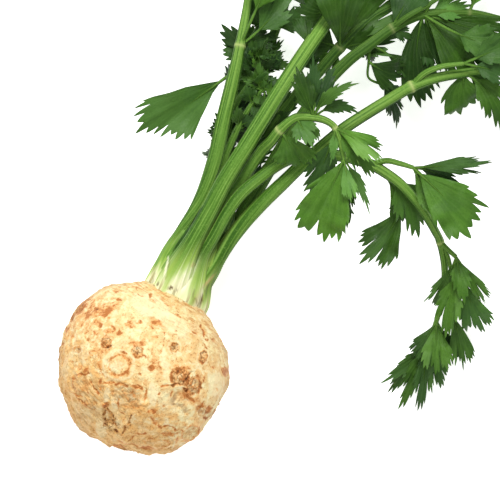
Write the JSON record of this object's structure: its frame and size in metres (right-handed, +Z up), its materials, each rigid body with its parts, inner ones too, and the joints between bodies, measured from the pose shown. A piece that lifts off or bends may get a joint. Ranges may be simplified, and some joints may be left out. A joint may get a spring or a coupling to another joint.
{
  "type": "celeriac",
  "caption": "Whole celeriac lying on its side: a knobbly round root with a bunch of ribbed leaf stalks that carry lobed, toothed leaflets.",
  "frame": {"origin": "the spot that the root rests on, on the supporting surface under the root's centre", "axes": "+Y along the root's axis from the root end to the crown and the stalks, +Z up from the surface, +X to the side on which the longer stalks arch over"},
  "size_m": [0.2973, 0.4192, 0.109],
  "materials": {
    "celeriac_skin": "matte, scarred, cream and tan",
    "leafy_stalk_left_green": "waxy satin green",
    "leafy_stalk_young_upper_green": "waxy satin green",
    "leafy_stalk_young_lower_green": "waxy satin green",
    "leafy_stalk_middle_green": "waxy satin green",
    "leafy_stalk_back_green": "waxy satin green",
    "leafy_stalk_right_back_green": "waxy satin green",
    "leafy_stalk_right_green": "waxy satin green",
    "leafy_stalk_front_green": "waxy satin green",
    "leafy_stalk_arching_green": "waxy satin green",
    "leafy_stalk_under_green": "waxy satin green"
  },
  "bodies": {
    "root": {"celeriac_root": "celeriac_skin", "leafy_stalk_left": "leafy_stalk_left_green", "leafy_stalk_young_upper": "leafy_stalk_young_upper_green", "leafy_stalk_young_lower": "leafy_stalk_young_lower_green", "leafy_stalk_middle": "leafy_stalk_middle_green", "leafy_stalk_back": "leafy_stalk_back_green", "leafy_stalk_right_back": "leafy_stalk_right_back_green", "leafy_stalk_right": "leafy_stalk_right_green", "leafy_stalk_front": "leafy_stalk_front_green", "leafy_stalk_arching": "leafy_stalk_arching_green", "leafy_stalk_under": "leafy_stalk_under_green"}
  },
  "joints": []
}
